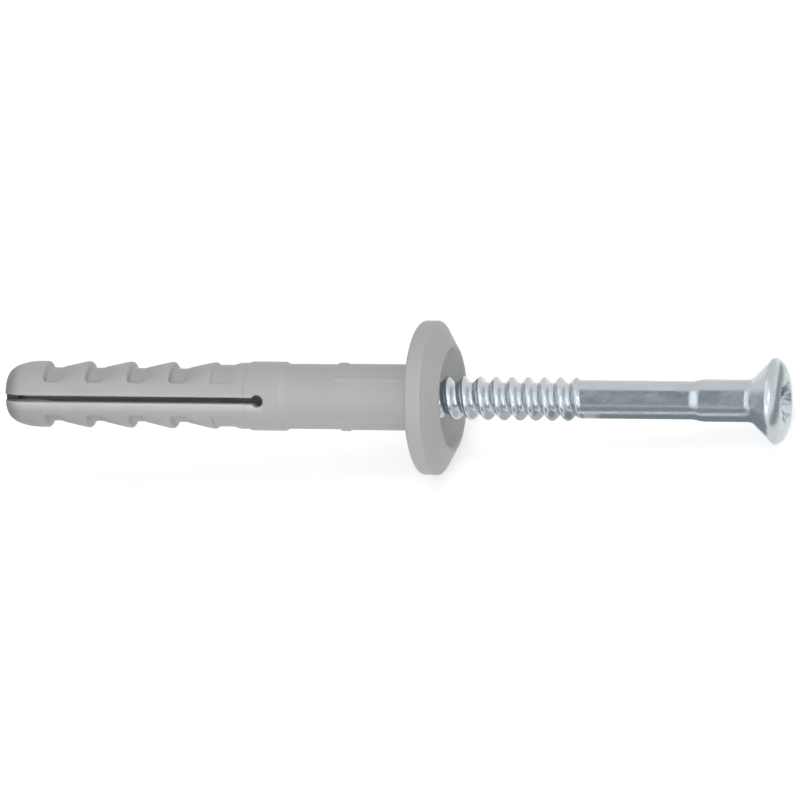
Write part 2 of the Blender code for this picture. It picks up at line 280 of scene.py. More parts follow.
def spun_mesh(name, radii, heights, turns, closed):
    """Mesh of rings about Z from arrays of (ring, column); open ends are capped by a fan."""
    rings, columns = radii.shape
    points = np.empty((rings, columns, 3))
    points[..., 0] = radii * np.cos(turns)
    points[..., 1] = radii * np.sin(turns)
    points[..., 2] = heights
    ring = np.arange(rings if closed else rings - 1)[:, None] * columns
    following = ((ring // columns + 1) % rings) * columns
    column = np.arange(columns)[None, :]
    beside = (column + 1) % columns
    faces = np.stack((ring + column, ring + beside, following + beside, following + column), -1)
    mesh = bpy.data.meshes.new(name)
    corners = [tuple(point) for point in points.reshape(-1, 3)]
    quads = [tuple(face) for face in faces.reshape(-1, 4).tolist()]
    if not closed:
        for index, first in ((0, 0), (rings - 1, (rings - 1) * columns)):
            corners.append((0, 0, float(np.mean(heights[index]))))
            centre = len(corners) - 1
            for start in range(columns):
                pair = (first + start, first + (start + 1) % columns)
                if index == 0:
                    pair = pair[::-1]
                quads.append((*pair, centre))
    mesh.from_pydata(corners, [], quads)
    mesh.validate()
    return mesh


def place_on_axis(piece):
    """Lays a mesh that was made about Z onto the anchor's axis, with its zero at the nose."""
    axis = Matrix((DOWN, SIDE, ALONG)).transposed().to_4x4()
    axis.translation = NOSE_POINT
    piece.data.transform(axis)


def make_piece(name, mesh):
    """A new object with this mesh, linked into the scene."""
    made = bpy.data.objects.new(name, mesh)
    bpy.context.scene.collection.objects.link(made)
    return made


def cut(piece, cutters):
    """Cuts closed shapes out of a piece and leaves one plain mesh, without hair-thin slivers."""
    for cutter in cutters:
        boolean = piece.modifiers.new(cutter.name, "BOOLEAN")
        boolean.operation = "DIFFERENCE"
        boolean.object = cutter
    graph = bpy.context.evaluated_depsgraph_get()
    result = bpy.data.meshes.new_from_object(piece.evaluated_get(graph))
    piece.modifiers.clear()
    hair = 0.001 * MM
    solid = bmesh.new()
    solid.from_mesh(result)
    bmesh.ops.remove_doubles(solid, verts=solid.verts, dist=hair)
    bmesh.ops.dissolve_degenerate(solid, edges=solid.edges, dist=hair)
    solid.to_mesh(result)
    solid.free()
    old = piece.data
    piece.data = result
    bpy.data.meshes.remove(old)
    for cutter in cutters:
        bpy.data.objects.remove(cutter)


def around_slots(turns, radius):
    """Distance round the sleeve from the middle of the nearer split, as an array."""
    half_turn = (turns - SLOT_TURN + math.pi / 2) % math.pi - math.pi / 2
    return radius * np.sin(half_turn)


def sleeve_columns():
    """Turn of each column of the sleeve: even, with the ones near the split drawn closer."""
    even = np.arange(SLEEVE_COLUMNS) / SLEEVE_COLUMNS * math.tau
    squeeze = 0.32
    return SLOT_TURN + even - squeeze * np.sin(2 * even) / 2


def pocket_floor(along):
    """Radius at the bottom of the pockets behind the teeth, for places along the axis."""
    before_nose = -1 * MM
    kerb = 0.12 * MM
    kerb_length = 0.3 * MM
    wall = 0.16 * MM
    floor_length = 1.2 * MM
    land = 0.35 * MM
    window = 0.09 * MM
    samples = 7
    places = [before_nose, FIRST_TOOTH]
    radii = [SLEEVE_RADIUS, SLEEVE_RADIUS]
    for tooth in range(TOOTH_COUNT - 1):
        edge = FIRST_TOOTH + tooth * TOOTH_PITCH
        places += [edge + wall, edge + floor_length, edge + floor_length + kerb_length]
        radii += [POCKET_RADIUS, POCKET_RADIUS, POCKET_RADIUS + kerb]
        places += [edge + TOOTH_PITCH - land, edge + TOOTH_PITCH]
        radii += [SLEEVE_RADIUS, SLEEVE_RADIUS]
    shifts = np.linspace(-window, window, samples)
    sampled = [np.interp(along + shift, places, radii) for shift in shifts]
    return np.clip(np.mean(sampled, axis=0), POCKET_RADIUS, SLEEVE_RADIUS)


def pocket_depth(along, around):
    """How far the outside of the sleeve dips at a place, from the pockets behind the teeth."""
    corner = 0.5 * MM
    slope_start = 0.9 * MM
    slope_end = 2.0 * MM
    steep_wall = 0.14 * MM
    sloped_wall = 0.75 * MM
    outside_share = 0.25
    drop = SLEEVE_RADIUS - pocket_floor(along)
    since_edge = (along - FIRST_TOOTH) % TOOTH_PITCH
    inside = np.clip(corner - since_edge, 0, corner)
    side = SIDE_BAND_HALF + corner - np.sqrt(np.clip(corner**2 - inside**2, 0, None))
    wall = steep_wall + sloped_wall * smooth_step(since_edge, slope_start, slope_end)
    share = smooth_step(np.abs(around) - side, -outside_share * wall, wall)
    return drop * share


def last_gap_depth(along, around):
    """The shallow fifth gap: a steep start and sides, and a floor that rises to nothing."""
    start = FIRST_TOOTH + (TOOTH_COUNT - 1) * TOOTH_PITCH
    depth = 0.2 * MM
    length = 1.55 * MM
    rise = 0.9 * MM
    start_wall = 0.12 * MM
    side_wall = 0.14 * MM
    opening = smooth_step(along - start, 0, start_wall)
    closing = 1 - smooth_step(along - start - length, 0, rise)
    side = smooth_step(np.abs(around) - SIDE_BAND_HALF, 0, side_wall)
    return depth * opening * closing * side


def ridge(along, around_middle, start, end, half_width, ramp):
    """A low rounded ridge along the axis, 1 on its crest and 0 beside it."""
    across = np.clip(1 - (around_middle / half_width) ** 2, 0, 1)
    rise = smooth_step(along, start - ramp, start) * (1 - smooth_step(along, end, end + ramp))
    return across * rise


def fins_and_pips(along, turns, settings):
    """Height of the four low fins before the collar, and of the six pips at their start."""
    fin_half = 0.17 * MM
    spread = math.radians(42)
    between = math.pi / 2
    pip_ramp = 0.16 * MM
    fin_ramp = 0.1 * MM
    pip_end = FIN_START + 0.8 * MM
    out_of_reach = 1
    height = np.zeros_like(along)
    for side in (0, math.pi):
        for turn in (-spread, spread, between):
            middle = SLOT_TURN + side + turn
            around = SLEEVE_RADIUS * np.sin(turns - middle)
            around = np.where(np.cos(turns - middle) > 0, around, out_of_reach)
            pip = ridge(along, around, FIN_START, pip_end, fin_half, pip_ramp)
            height = np.maximum(height, settings.pip_height * pip)
            if turn != between:
                fin = ridge(along, around, pip_end, COLLAR_BACK, fin_half, fin_ramp)
                height = np.maximum(height, settings.fin_height * fin)
    return height


def slot_edge_drop(along, around, radius):
    """How far the edges of the split and its hole are rolled down."""
    to_slot = np.abs(around) - SLOT_WIDTH / 2
    to_hole = np.hypot(along - SLOT_END, around) - SLOT_HOLE_RADIUS
    nearest = np.where(along < SLOT_END, np.minimum(to_slot, to_hole), to_hole)
    inward = np.clip(radius - nearest, 0, radius)
    return radius - np.sqrt(np.clip(radius**2 - inward**2, 0, None))


def toothed_places():
    """Places of the rings along the toothed end, closer together round each tooth's edge."""
    fine = 0.04 * MM
    coarse = 0.12 * MM
    rings_before_edge = 4
    rings_round_edge = 13
    places = []
    last = NOSE_LENGTH
    for tooth in range(TOOTH_COUNT):
        edge = FIRST_TOOTH + tooth * TOOTH_PITCH
        first_near = edge - rings_before_edge * fine
        count = math.ceil((first_near - last) / coarse)
        places += [last + (first_near - last) * step / count for step in range(1, count)]
        places += [first_near + step * fine for step in range(rings_round_edge)]
        last = places[-1]
    count = math.ceil((SHOULDER_START - last) / coarse)
    places += [last + (SHOULDER_START - last) * step / count for step in range(1, count)]
    return places


def nose_points():
    """Points of the sleeve's rounded nose, from its flat end to the toothed end."""
    steps = 26
    points = []
    for step in range(steps + 1):
        angle = math.pi / 2 * step / steps
        radius = NOSE_FACE_RADIUS + (SLEEVE_RADIUS - NOSE_FACE_RADIUS) * math.sin(angle)
        points.append((radius, NOSE_LENGTH * (1 - math.cos(angle))))
    return points


def sleeve_outline():
    """Closed outline of the sleeve as (radius, place), and how many of its points are outside."""
    ramp = 0.3 * MM
    ramp_step = 0.095 * MM
    shoulder_step = 0.11 * MM
    plain_step = 0.5 * MM
    collar_step = 0.7 * MM
    rim_step = 0.4 * MM
    bore_step = 3 * MM
    taper_step = 1.2 * MM
    shoulder_round = 0.1 * MM
    fins_round = 0.2 * MM
    back_round = 0.4 * MM
    rim_round = 0.24 * MM
    lip_outer_round = 0.14 * MM
    lip_inner_round = 0.3 * MM
    seat_round = 1.2 * MM
    bore_round = 0.3 * MM
    toothed_end = (SLEEVE_RADIUS, SHOULDER_START)
    shoulder = (SHOULDER_RADIUS, SHOULDER_START + ramp)
    shoulder_end = (SHOULDER_RADIUS, SHOULDER_END)
    neck = (NECK_RADIUS, SHOULDER_END + ramp)
    neck_end = (NECK_RADIUS, FIN_START - ramp)
    pips_end = (SLEEVE_RADIUS, FIN_START + 1.2 * MM)
    fins = (SLEEVE_RADIUS, FIN_START)
    back = (SLEEVE_RADIUS, COLLAR_BACK)
    back_edge = (COLLAR_RADIUS, COLLAR_BACK)
    front_edge = (COLLAR_RADIUS, RIM_FRONT)
    lip_outer = (LIP_RADIUS, MOUTH)
    lip_inner = (MOUTH_RADIUS, MOUTH)
    seat = (SEAT_RADIUS, SEAT_TOP)
    seat_end = (BORE_RADIUS, SEAT_BOTTOM)
    bore_end = (BORE_RADIUS, BORE_END)
    nose_bore = (NOSE_BORE_RADIUS, WEB_LENGTH)
    nose_hole = (NOSE_BORE_RADIUS, 0)
    outside = [
        *nose_points(),
        *((SLEEVE_RADIUS, place) for place in toothed_places()),
        toothed_end,
        *run(toothed_end, shoulder, ramp_step),
        shoulder,
        *run(shoulder, shoulder_end, shoulder_step),
        *rounded_corner(shoulder, shoulder_end, neck, shoulder_round, 4),
        neck,
        *run(neck, neck_end, plain_step),
        neck_end,
        *run(neck_end, pips_end, ramp_step),
        pips_end,
        *run(pips_end, back, plain_step),
    ]
    rest = [
        *rounded_corner(fins, back, back_edge, fins_round),
        *run(back, back_edge, collar_step)[1:-1],
        *rounded_corner(back, back_edge, front_edge, back_round, 8),
        *rounded_corner(back_edge, front_edge, lip_outer, rim_round, 8),
        *run(front_edge, lip_outer, rim_step)[1:-1],
        *rounded_corner(front_edge, lip_outer, lip_inner, lip_outer_round, 6),
        *rounded_corner(lip_outer, lip_inner, seat, lip_inner_round, 6),
        *rounded_corner(lip_inner, seat, seat_end, seat_round, 8),
        *run(seat, seat_end, plain_step)[1:-1],
        *rounded_corner(seat, seat_end, bore_end, bore_round, 4),
        *run(seat_end, bore_end, bore_step)[1:],
        bore_end,
        *run(bore_end, nose_bore, taper_step),
        nose_bore,
        nose_hole,
        ((NOSE_BORE_RADIUS + NOSE_FACE_RADIUS) / 2, 0),
    ]
    return outside + rest, len(outside)


def nylon_material(settings):
    """PA6 nylon, injection moulded: a satin grey with faint cloudy marks and a fine matt skin, with
    painted light and shade at places.
    """
    grain_size = 0.16 * MM
    skin_height = 0.02 * MM
    soak = 0.5 * MM
    cloud_tone = 0.955
    made, add = new_material("injection_moulded_nylon")
    place = add("ShaderNodeTexCoord")
    clouds = add(
        "ShaderNodeTexNoise",
        {"Scale": 1 / settings.mottle_size, "Detail": 3.0, "Roughness": 0.55},
        {"Vector": place.outputs["Object"]},
    )
    grain = add(
        "ShaderNodeTexNoise",
        {"Scale": 1 / grain_size, "Detail": 2.0},
        {"Vector": place.outputs["Object"]},
    )
    tones = add("ShaderNodeValToRGB", links={"Fac": clouds.outputs["Fac"]})
    pale = srgb(settings.colour)
    tones.color_ramp.elements[0].position = 0.3
    tones.color_ramp.elements[0].color = (*(cloud_tone * part for part in pale), 1)
    tones.color_ramp.elements[1].position = 0.7
    tones.color_ramp.elements[1].color = (*pale, 1)
    # The cloudy colour, scaled by the painted light and shade at each place.
    clouds_and_painted_light = add(
        "ShaderNodeVectorMath",
        links={0: tones.outputs["Color"], "Scale": nylon_painted_light_and_shade(add)},
        operation="SCALE",
    )
    skin = add(
        "ShaderNodeBump",
        {"Strength": 0.12, "Distance": skin_height},
        {"Height": grain.outputs["Fac"]},
    )
    shader = add(
        "ShaderNodeBsdfPrincipled",
        {
            "Roughness": 0.46,
            "IOR": 1.53,
            "Subsurface Weight": 0.1,
            "Subsurface Radius": (1.0, 0.95, 0.9),
            "Subsurface Scale": soak,
        },
        {"Base Color": clouds_and_painted_light.outputs["Vector"], "Normal": skin.outputs["Normal"]},
    )
    add("ShaderNodeOutputMaterial", links={"Surface": shader.outputs["BSDF"]})
    return made


def nylon_painted_light_and_shade(add):
    """How light the nylon is at a place, against its plain colour. The tones are painted light and
    shade, set to match the photo: painted light on the lips beside the split and inside the mouth,
    painted shade in the pockets, at the split's end and at the nose's end. A limit is a value,
    where its tone begins and is full."""
    lip = SLOT_WIDTH / 2
    inside_split = lip - 0.02 * MM
    lower_lip = lip + 1.0 * MM
    upper_lip = lip + 0.5 * MM
    past_middle = 0.1 * MM
    past_hole = SLOT_END + 0.8 * MM
    last_pocket = 22.5 * MM
    across = SIDE * math.cos(SLOT_TURN) - DOWN * math.sin(SLOT_TURN)
    place = add("ShaderNodeTexCoord")
    from_nose = add(
        "ShaderNodeVectorMath",
        {1: tuple(NOSE_POINT)},
        {0: place.outputs["Object"]},
        operation="SUBTRACT",
    ).outputs["Vector"]
    off, along = (
        add(
            "ShaderNodeVectorMath",
            {1: tuple(direction)},
            {0: from_nose},
            operation="DOT_PRODUCT",
        ).outputs["Value"]
        for direction in (across, ALONG)
    )
    square = add(
        "ShaderNodeVectorMath", {1: tuple(ALONG)}, {0: from_nose}, operation="CROSS_PRODUCT"
    )
    radius = add(
        "ShaderNodeVectorMath", links={0: square.outputs["Vector"]}, operation="LENGTH"
    ).outputs["Value"]
    # Painted shade: the nose's end darkens towards its tip.
    nose_end = ((along, 1.6 * MM, 0.0),)
    # Painted shade: the web seen through the split at the nose is darkened nearly to black.
    split_end = (
        (along, 2.2 * MM, 1.2 * MM),
        (off, lip, inside_split),
        (off, -lip, -inside_split),
    )
    # Painted highlights: the lips below and above the split are lightened.
    below_split = (
        (along, past_hole, SLOT_END),
        (off, -lower_lip, -lip),
        (off, past_middle, 0.0),
    )
    above_split = (
        (along, past_hole, SLOT_END),
        (off, upper_lip, lip),
        (off, -past_middle, 0.0),
    )
    # Painted shade: the pockets behind the teeth are darkened.
    pockets = (
        (along, SLOT_END, last_pocket),
        (radius, 2.95 * MM, 2.6 * MM),
        (radius, 2.2 * MM, 2.3 * MM),
    )
    # Painted light: the inside of the collar's mouth is lightened against its shade.
    mouth = (
        (along, COLLAR_BACK + 0.2 * MM, COLLAR_BACK + 0.8 * MM),
        (radius, 4.65 * MM, 4.25 * MM),
    )
    total = None
    # A tone below 1 is painted shade, and a tone above 1 is painted light.
    for tone, limits in (
        (0.5, nose_end),
        (0.12, split_end),
        (1.36, below_split),
        (1.14, above_split),
        (0.88, pockets),
        (1.4, mouth),
    ):
        share = None
        for value, none, full in limits:
            part = add(
                "ShaderNodeMapRange",
                {"From Min": none, "From Max": full},
                {"Value": value},
                interpolation_type="SMOOTHSTEP",
            ).outputs["Result"]
            if share:
                part = add(
                    "ShaderNodeMath", links={0: share, 1: part}, operation="MULTIPLY"
                ).outputs[0]
            share = part
        factor = add(
            "ShaderNodeMapRange", {"To Min": 1.0, "To Max": tone}, {"Value": share}
        ).outputs["Result"]
        if total:
            factor = add(
                "ShaderNodeMath", links={0: total, 1: factor}, operation="MULTIPLY"
            ).outputs[0]
        total = factor
    return total


def zinc_material(settings):
    """Steel, barrel zinc plated and blue passivated: a soft mirror, mottled by tumbling, with
    painted light that makes the thread a little lighter to match the photo."""
    stretched = (0.4, 1, 1)
    blotch_size = 0.9 * MM
    dint_size = 0.5 * MM
    dint_depth = 0.02 * MM
    dark_tone = 0.9
    painted_thread_tone = 1.08
    made, add = new_material("blue_passivated_zinc")
    place = add("ShaderNodeTexCoord")
    stretch = add(
        "ShaderNodeMapping",
        {"Scale": stretched},
        {"Vector": place.outputs["Object"]},
    )
    blotches = add(
        "ShaderNodeTexNoise",
        {"Scale": 1 / blotch_size, "Detail": 4.0, "Roughness": 0.6},
        {"Vector": stretch.outputs["Vector"]},
    )
    tones = add("ShaderNodeValToRGB", links={"Fac": blotches.outputs["Fac"]})
    tint = srgb(settings.colour)
    tones.color_ramp.elements[0].position = 0.3
    tones.color_ramp.elements[0].color = (*(dark_tone * part for part in tint), 1)
    tones.color_ramp.elements[1].position = 0.65
    tones.color_ramp.elements[1].color = (*tint, 1)
    along = add(
        "ShaderNodeVectorMath",
        {1: tuple(ALONG)},
        {0: place.outputs["Object"]},
        operation="DOT_PRODUCT",
    )
    thread_end = ALONG.dot(NOSE_POINT) + NAIL_TIP + SHANK_START
    # Painted light: the thread is made lighter than the shank.
    painted_thread_light = add(
        "ShaderNodeMapRange",
        {
            "From Min": thread_end - 0.5 * MM,
            "From Max": thread_end + 0.3 * MM,
            "To Min": painted_thread_tone,
            "To Max": 1.0,
        },
        {"Value": along.outputs["Value"]},
    )
    # The zinc colour, with the painted light on the thread.
    plated = add(
        "ShaderNodeVectorMath",
        links={0: tones.outputs["Color"], "Scale": painted_thread_light.outputs["Result"]},
        operation="SCALE",
    )
    polish = add(
        "ShaderNodeMapRange",
        {"From Min": 0.3, "From Max": 0.7, "To Min": 0.32, "To Max": 0.2},
        {"Value": blotches.outputs["Fac"]},
    )
    dints = add(
        "ShaderNodeTexNoise",
        {"Scale": 1 / dint_size, "Detail": 3.0},
        {"Vector": stretch.outputs["Vector"]},
    )
    bump = add(
        "ShaderNodeBump",
        {"Strength": 0.2, "Distance": dint_depth},
        {"Height": dints.outputs["Fac"]},
    )
    shader = add(
        "ShaderNodeBsdfPrincipled",
        {"Metallic": 1.0},
        {
            "Base Color": plated.outputs["Vector"],
            "Roughness": polish.outputs["Result"],
            "Normal": bump.outputs["Normal"],
        },
    )
    add("ShaderNodeOutputMaterial", links={"Surface": shader.outputs["BSDF"]})
    return made


def srgb(hex_colour):
    """Linear red, green and blue of an sRGB hex colour."""
    parts = [int(hex_colour[start:start + 2], 16) / 255 for start in (1, 3, 5)]
    return tuple(
        part / 12.92 if part <= 0.04045 else ((part + 0.055) / 1.055) ** 2.4 for part in parts
    )


def node_adder(tree):
    """A function that adds a node to this tree, with its inputs' values and links."""

    def add(kind, values=None, links=None, **settings):
        node = tree.nodes.new(kind)
        for name, value in settings.items():
            setattr(node, name, value)
        for name, value in (values or {}).items():
            node.inputs[name].default_value = value
        for name, source in (links or {}).items():
            tree.links.new(source, node.inputs[name])
        return node

    return add


def new_material(name):
    """An empty node material, and the function that adds its nodes."""
    made = bpy.data.materials.new(name)
    made.use_nodes = True
    made.node_tree.nodes.clear()
    return made, node_adder(made.node_tree)


def finish_piece(piece):
    """Smooth shading, with an edge kept where the surface turns sharply."""
    piece.data.shade_smooth()
    piece.data.set_sharp_from_angle(angle=SHARP_ANGLE)


class ANCHOR_OT_sleeve(bpy.types.Operator):
    """Build the nylon sleeve with its pockets, split, shoulder, fins and collar"""

    bl_idname = "anchor.sleeve"
    bl_label = "Build sleeve"

    def execute(self, context):
        settings = context.scene.anchor_sleeve
        outline, outside_count = sleeve_outline()
        turns = sleeve_columns()[None, :]
        radii = np.array([point[0] for point in outline])[:, None] * np.ones_like(turns)
        along = np.array([point[1] for point in outline])[:, None] * np.ones_like(turns)
        outer = slice(0, outside_count)
        turn_grid = np.broadcast_to(turns, radii.shape)
        around = around_slots(turn_grid, radii)[outer]
        place = along[outer]
        toothed = place < SHOULDER_START
        drop = np.where(toothed, pocket_depth(place, around), 0)
        last_edge = FIRST_TOOTH + (TOOTH_COUNT - 1) * TOOTH_PITCH
        drop = np.where(place > last_edge, last_gap_depth(place, around), drop)
        drop = drop + slot_edge_drop(place, around, settings.edge_round)
        radii[outer] += fins_and_pips(place, turn_grid[outer], settings) - drop
        mesh = spun_mesh("nylon_sleeve", radii, along, turn_grid, closed=True)
        sleeve = make_piece("nylon_sleeve", mesh)
        past = 1 * MM
        reach = 2 * SLEEVE_RADIUS
        # The core that ties the legs is left between the second and third cutters
        cutters = [
            self.split(-reach, reach, WEB_LENGTH, SLOT_END),
            self.split(WEB_RADIUS, reach, -past, WEB_LENGTH + past),
            self.split(-reach, -WEB_RADIUS, -past, WEB_LENGTH + past),
            self.split_hole(),
        ]
        cut(sleeve, cutters)
        place_on_axis(sleeve)
        finish_piece(sleeve)
        sleeve.data.materials.append(nylon_material(settings))
        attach(sleeve, "sleeve")
        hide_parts("sleeve")
        return {"FINISHED"}

    def split(self, inner, outer, start, end):
        """A flat cutter for the split, from one radius to another and along the axis."""
        solid = bmesh.new()
        bmesh.ops.create_cube(solid, size=1)
        size = Vector((outer - inner, SLOT_WIDTH, end - start))
        bmesh.ops.scale(solid, verts=solid.verts, vec=size)
        middle = Vector(((outer + inner) / 2, 0, (end + start) / 2))
        bmesh.ops.translate(solid, verts=solid.verts, vec=middle)
        mesh = bpy.data.meshes.new("split")
        solid.to_mesh(mesh)
        solid.free()
        made = make_piece("split", mesh)
        made.rotation_euler = (0, 0, SLOT_TURN)
        return made

    def split_hole(self):
        """The round hole that the split ends in."""
        solid = bmesh.new()
        bmesh.ops.create_cone(
            solid,
            cap_ends=True,
            segments=48,
            radius1=SLOT_HOLE_RADIUS,
            radius2=SLOT_HOLE_RADIUS,
            depth=4 * SLEEVE_RADIUS,
        )
        mesh = bpy.data.meshes.new("split_hole")
        solid.to_mesh(mesh)
        solid.free()
        made = make_piece("split_hole", mesh)
        made.location = (0, 0, SLOT_END)
        made.rotation_euler = (0, math.pi / 2, SLOT_TURN)
        return made


def dome_points():
    """Points of the head's raised dome, from its edge almost to its top."""
    steps = 48
    fullness = 0.5
    first_angle = math.radians(8)
    rise = DOME_HEIGHT / (1 - math.sin(first_angle))
    points = []
    for step in range(steps):
        angle = first_angle + (math.pi / 2 - first_angle) * step / steps
        share = (math.cos(angle) / math.cos(first_angle)) ** fullness
        points.append((HEAD_RADIUS * share, HEAD_TOP - rise * (1 - math.sin(angle))))
    return points


def nail_outline():
    """Outside of the nail without its thread, from the tip to the top of its dome."""
    head_cone = (HEAD_RADIUS - NAIL_NECK_RADIUS) / math.tan(CONE_HALF_ANGLE)
    blend = 0.5 * MM
    neck_ramp = 0.75 * MM
    thread_step = 0.05 * MM
    plain_step = 0.4 * MM
    cone_step = 0.25 * MM
    shank_round = 0.45 * MM
    neck_round = 2.5 * MM
    cone_round = 1.2 * MM
    edge_round = 0.12 * MM
    point = (0.5 * POINT_RADIUS, -0.04 * MM)
    tip = (POINT_RADIUS, 0)
    core = (ROOT_RADIUS, TIP_LENGTH)
    core_end = (ROOT_RADIUS, SHANK_START - blend)
    shank = (SHANK_RADIUS, SHANK_START)
    shank_rounded = (SHANK_RADIUS, SHANK_START + 0.13 * MM)
    thread_fade = (SHANK_RADIUS, SHANK_START + 1.3 * MM)
    shank_end = (SHANK_RADIUS, SHANK_END)
    neck = (NAIL_NECK_RADIUS, SHANK_END + neck_ramp)
    neck_end = (NAIL_NECK_RADIUS, HEAD_EDGE_START - head_cone)
    back_edge = (HEAD_RADIUS, HEAD_EDGE_START)
    dome = dome_points()
    return [
        point,
        tip,
        *run(tip, core, thread_step),
        core,
        *run(core, core_end, thread_step),
        core_end,
        *run(core_end, shank, thread_step),
        *rounded_corner(core_end, shank, shank_end, shank_round, 4),
        *run(shank_rounded, thread_fade, thread_step),
        thread_fade,
        *run(thread_fade, shank_end, plain_step)[:-1],
        *rounded_corner(shank, shank_end, neck, neck_round, 6),
        *rounded_corner(shank_end, neck, neck_end, neck_round, 6),
        *run(neck, neck_end, plain_step)[1:-1],
        *rounded_corner(neck, neck_end, back_edge, cone_round, 10),
        *run(neck_end, back_edge, cone_step)[1:-1],
        *rounded_corner(neck_end, back_edge, dome[0], edge_round, 6),
        *dome,
    ]


def thread_height(along, turns, settings):
    """Height of the rolled thread above the core, as one right-hand helix."""
    grown = 3.2 * MM
    run_out = SHANK_START + 1.05 * MM
    fade = 1.1 * MM
    shift = THREAD_PITCH * (turns - THREAD_START_TURN) / math.tau
    offset = (along - THREAD_START - shift + THREAD_PITCH / 2) % THREAD_PITCH - THREAD_PITCH / 2
    wave = 0.5 + 0.5 * np.cos(offset / THREAD_PITCH * math.tau)
    centre = along - offset
    envelope = np.minimum(
        np.clip((centre - THREAD_START) / grown, 0, 1),
        np.clip((run_out - centre) / fade, 0, 1),
    )
    return settings.thread_height * wave**settings.crest_sharpness * envelope


class ANCHOR_OT_nail(bpy.types.Operator):
    """Build the zinc-plated nail with its thread, neck and countersunk head"""

    bl_idname = "anchor.nail"
    bl_label = "Build nail"

    def execute(self, context):
        settings = context.scene.anchor_nail
        outline = nail_outline()
        turns = np.arange(NAIL_COLUMNS)[None, :] / NAIL_COLUMNS * math.tau
        radii = np.array([point[0] for point in outline])[:, None] * np.ones_like(turns)
        along = np.array([point[1] for point in outline])[:, None] * np.ones_like(turns)
        turn_grid = np.broadcast_to(turns, radii.shape)
        threaded = (along > 0) & (along < SHANK_START + THREAD_PITCH)
        height = np.where(threaded, thread_height(along, turn_grid, settings), 0)
        radii = np.maximum(radii, np.minimum(ROOT_RADIUS, radii) + height)
        mesh = spun_mesh("zinc_nail", radii, along + NAIL_TIP, turn_grid, closed=False)
        nail = make_piece("zinc_nail", mesh)
        cut(nail, self.recess(settings))
        place_on_axis(nail)
        finish_piece(nail)
        nail.data.materials.append(zinc_material(settings))
        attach(nail, "nail")
        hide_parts("nail")
        return {"FINISHED"}

    def recess(self, settings):
        """Cutters for the cross recess: its four tapered wings, the ticks between them and its
        round mouth. A size is span and width at the top, both again at the floor, and depth."""
        top = NAIL_TIP + HEAD_TOP
        turn = math.radians(28)
        wings = (settings.recess_span, 1.25 * MM, 2.5 * MM, 0.8 * MM, settings.recess_depth)
        ticks = (3.3 * MM, 0.3 * MM, 2.0 * MM, 0.16 * MM, 1.0 * MM)
        made = [
            self.wing(size, top, turn + math.radians(extra))
            for size, extra in ((wings, 0), (wings, 90), (ticks, 45), (ticks, 135))
        ]
        mouth_depth = 0.5 * MM
        mouth = bmesh.new()
        bmesh.ops.create_cone(
            mouth,
            cap_ends=True,
            segments=64,
            radius1=1.15 * MM,
            radius2=2.45 * MM,
            depth=2 * mouth_depth,
        )
        mesh = bpy.data.meshes.new("recess_mouth")
        mouth.to_mesh(mesh)
        mouth.free()
        cutter = make_piece("recess_mouth", mesh)
        cutter.location = (0, 0, top)
        return [*made, cutter]

    def wing(self, size, top, turn):
        """One cutter through the middle of the head, narrower and shorter at its floor."""
        span, width, floor_span, floor_width, depth = size
        past = 0.6 * MM
        flare = 1 + past / depth
        solid = bmesh.new()
        bmesh.ops.create_cube(solid, size=1)
        for vertex in solid.verts:
            if vertex.co.z > 0:
                vertex.co.x *= floor_span + (span - floor_span) * flare
                vertex.co.y *= floor_width + (width - floor_width) * flare
            else:
                vertex.co.x *= floor_span
                vertex.co.y *= floor_width
            vertex.co.z *= depth + past
        mesh = bpy.data.meshes.new("wing")
        solid.to_mesh(mesh)
        solid.free()
        cutter = make_piece("wing", mesh)
        cutter.location = (0, 0, top - depth + (depth + past) / 2)
        cutter.rotation_euler = (0, 0, turn)
        return cutter


def view_across(view):
    """The direction towards the camera, square to the anchor's axis."""
    return (view - ALONG * ALONG.dot(view)).normalized()


def seen_directly(add):
    """1 where the camera, a mirror or clear glass looks at a surface, 0 for the light it gives."""
    path = add("ShaderNodeLightPath")
    seen = path.outputs["Is Camera Ray"]
    for ray in ("Is Glossy Ray", "Is Transmission Ray"):
        links = {0: seen, 1: path.outputs[ray]}
        seen = add("ShaderNodeMath", links=links, operation="MAXIMUM").outputs[0]
    return seen


